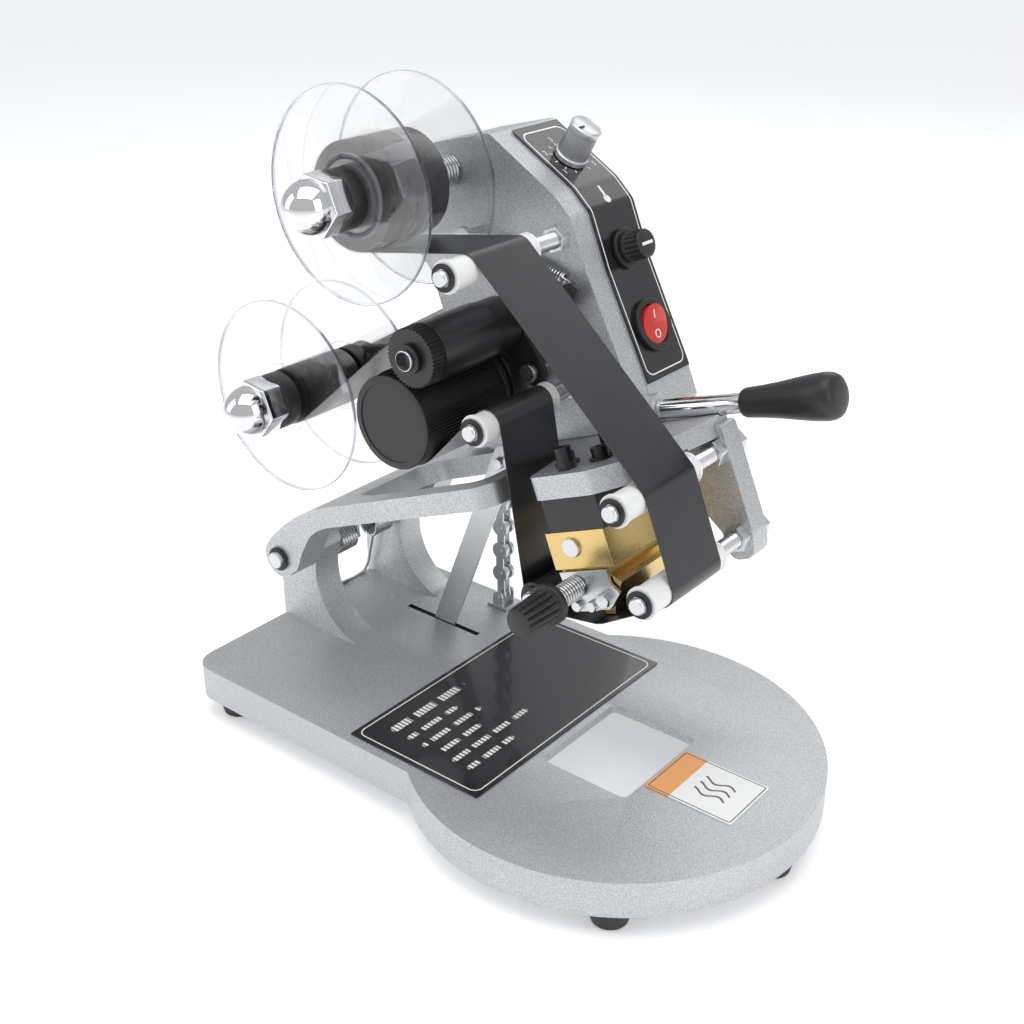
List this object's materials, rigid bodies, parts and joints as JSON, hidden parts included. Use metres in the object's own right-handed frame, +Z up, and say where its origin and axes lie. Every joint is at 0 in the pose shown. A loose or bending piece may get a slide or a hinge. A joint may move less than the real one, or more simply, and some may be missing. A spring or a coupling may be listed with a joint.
{
  "type": "hot foil stamper",
  "caption": "Hand-lever hot foil coder: round-ended cast base, hinged head with heated type block, foil reels, ribbed feed roller, chain-driven advance and a heat dial.",
  "frame": {"origin": "centre of the footprint of the bounding box, on the surface the feet stand on", "axes": "+X towards the round table end, +Z up, +Y towards the control box side"},
  "size_m": [0.3012, 0.18, 0.2927],
  "materials": {
    "silver_paint": "fine textured silver enamel",
    "dark_paint": "satin black enamel",
    "zinc": "bright zinc plate",
    "chrome": "polished",
    "spring_steel": "drawn wire",
    "brass": "milled",
    "black_plastic": "moulded",
    "white_plastic": "turned",
    "red_plastic": "moulded",
    "black_label": "printed polyester film",
    "white_label": "printed polyester film",
    "rubber": "moulded",
    "foil": "pigment foil on polyester film",
    "clear_plastic": "clear acrylic",
    "grey_plastic": "moulded",
    "board": "solder resist",
    "aluminium": "turned"
  },
  "bodies": {
    "base": {"base_casting": "silver_paint", "rubber_feet": "rubber", "foot_screws": "zinc", "name_plate": "black_label", "notice_plate": "white_label", "hinge_shaft": "zinc", "return_spring": "spring_steel", "chain_anchor": "zinc"},
    "head": {"swing_yoke": "silver_paint", "guide_leg": "silver_paint", "side_plate": "silver_paint", "rear_cover": "silver_paint", "cover_screws": "zinc", "control_panel": "black_label", "panel_fittings": "black_plastic", "inlet_gland": "black_plastic", "circuit_board": "board", "lift_strip": "zinc", "strip_fasteners": "zinc", "handle_rod": "chrome", "handle_grip": "black_plastic", "guide_rods": "zinc", "rod_nuts": "zinc", "rod_clips": "black_plastic", "head_screws": "black_plastic", "insulator_block": "black_plastic", "heater_block": "brass", "heater_cartridge": "zinc", "plate_shafts": "zinc", "cap_nuts": "chrome", "supply_spring": "spring_steel", "drive_belt": "rubber", "pinch_spring": "spring_steel", "foil_feed_run": "foil", "foil_return_run": "foil"},
    "feed_roller": {"feed_roller": "black_plastic"},
    "takeup_reel": {"takeup_discs": "clear_plastic", "takeup_core": "black_plastic", "takeup_foil": "foil"},
    "supply_reel": {"supply_discs": "clear_plastic", "supply_core": "grey_plastic", "supply_foil": "foil"},
    "pinch_arm": {"pinch_lever": "dark_paint"},
    "pinch_roller": {"pinch_roller": "black_plastic"},
    "guide_roller_1": {"foil_roller_1": "white_plastic"},
    "guide_roller_2": {"foil_roller_2": "white_plastic"},
    "guide_roller_3": {"foil_roller_3": "white_plastic"},
    "guide_roller_4": {"foil_roller_4": "white_plastic"},
    "guide_roller_5": {"foil_roller_5": "white_plastic"},
    "sprocket": {"chain_sprocket": "zinc"},
    "chain": {"drive_chain": "zinc"},
    "heat_knob": {"heat_knob": "aluminium"},
    "power_rocker": {"switch_rocker": "red_plastic"},
    "fuse_cap": {"fuse_cap": "black_plastic"},
    "type_drawer": {"type_holder": "brass", "type_slugs": "brass", "drawer_plate": "zinc", "drawer_screws": "zinc", "drawer_spring": "spring_steel"},
    "lock_knob": {"drawer_knob": "black_plastic"}
  },
  "joints": [
    {"name": "swing", "type": "hinge", "parent": "base", "child": "head", "pos_m": [-0.1144, 0, 0.069], "axis": [0, 1, 0], "range_deg": [0, 22], "stiffness_Nm_per_rad": 1.2, "springref_deg": -74.48, "deforming": ["return_spring"]},
    {"name": "feed_turn", "type": "hinge", "parent": "head", "child": "feed_roller", "pos_m": [-0.03592, 0, 0.15906], "axis": [0, 1, 0], "continuous": true},
    {"name": "takeup_turn", "type": "hinge", "parent": "head", "child": "takeup_reel", "pos_m": [-0.1066, 0, 0.15142], "axis": [0, 1, 0], "continuous": true},
    {"name": "supply_turn", "type": "hinge", "parent": "head", "child": "supply_reel", "pos_m": [-0.06003, 0, 0.24811], "axis": [0, 1, 0], "continuous": true},
    {"name": "pinch_swing", "type": "hinge", "parent": "head", "child": "pinch_arm", "pos_m": [-0.00751, 0, 0.1715], "axis": [0, 1, 0], "range_deg": [0, 10], "stiffness_Nm_per_rad": 0.3, "springref_deg": -40.11, "deforming": ["pinch_spring", "foil_return_run"]},
    {"name": "pinch_turn", "type": "hinge", "parent": "pinch_arm", "child": "pinch_roller", "pos_m": [-0.02384, 0, 0.19004], "axis": [0, 1, 0], "continuous": true},
    {"name": "guide_turn_1", "type": "hinge", "parent": "head", "child": "guide_roller_1", "pos_m": [-0.00093, 0, 0.22863], "axis": [0, 1, 0], "continuous": true},
    {"name": "guide_turn_2", "type": "hinge", "parent": "head", "child": "guide_roller_2", "pos_m": [0.07936, 0, 0.15537], "axis": [0, 1, 0], "continuous": true},
    {"name": "guide_turn_3", "type": "hinge", "parent": "head", "child": "guide_roller_3", "pos_m": [0.09303, 0, 0.12153], "axis": [0, 1, 0], "continuous": true},
    {"name": "guide_turn_4", "type": "hinge", "parent": "head", "child": "guide_roller_4", "pos_m": [0.03517, 0, 0.09923], "axis": [0, 1, 0], "continuous": true},
    {"name": "guide_turn_5", "type": "hinge", "parent": "head", "child": "guide_roller_5", "pos_m": [0.00968, 0, 0.16766], "axis": [0, 1, 0], "continuous": true},
    {"name": "sprocket_turn", "type": "hinge", "parent": "head", "child": "sprocket", "pos_m": [-0.03592, 0, 0.15906], "axis": [0, 1, 0], "range_deg": [0, 90]},
    {"name": "chain_lean", "type": "hinge", "parent": "base", "child": "chain", "pos_m": [-0.05251, 0.063, 0.032], "axis": [0, 1, 0], "range_deg": [0, 17]},
    {"name": "heat_turn", "type": "hinge", "parent": "head", "child": "heat_knob", "pos_m": [-0.01757, 0.06465, 0.25368], "axis": [0.514, 0, 0.8578], "range_deg": [-280, 0]},
    {"name": "power_rock", "type": "hinge", "parent": "head", "child": "power_rocker", "pos_m": [0.02696, 0.06465, 0.18975], "axis": [0, 1, 0], "range_deg": [0, 14]},
    {"name": "fuse_turn", "type": "hinge", "parent": "head", "child": "fuse_cap", "pos_m": [0.01159, 0.06465, 0.2202], "axis": [0.9272, 0, 0.3746], "range_deg": [0, 90]},
    {"name": "drawer_slide", "type": "slide", "parent": "head", "child": "type_drawer", "axis": [0, -1, 0], "range_m": [0, 0.04]},
    {"name": "lock_turn", "type": "hinge", "parent": "type_drawer", "child": "lock_knob", "pos_m": [0.05565, 0, 0.11128], "axis": [0, 1, 0], "continuous": true}
  ],
  "couplings": [
    {"joint": "takeup_turn", "follows": "feed_turn", "ratio": 1.8526},
    {"joint": "supply_turn", "follows": "feed_turn", "ratio": -0.9273},
    {"joint": "pinch_turn", "follows": "feed_turn", "ratio": -1.686},
    {"joint": "guide_turn_1", "follows": "feed_turn", "ratio": 3.4},
    {"joint": "guide_turn_2", "follows": "feed_turn", "ratio": 3.4},
    {"joint": "guide_turn_3", "follows": "feed_turn", "ratio": 3.4},
    {"joint": "guide_turn_4", "follows": "feed_turn", "ratio": 3.4},
    {"joint": "guide_turn_5", "follows": "feed_turn", "ratio": -3.4},
    {"joint": "sprocket_turn", "follows": "swing", "ratio": 3.99},
    {"joint": "chain_lean", "follows": "swing", "ratio": 0.755}
  ]
}
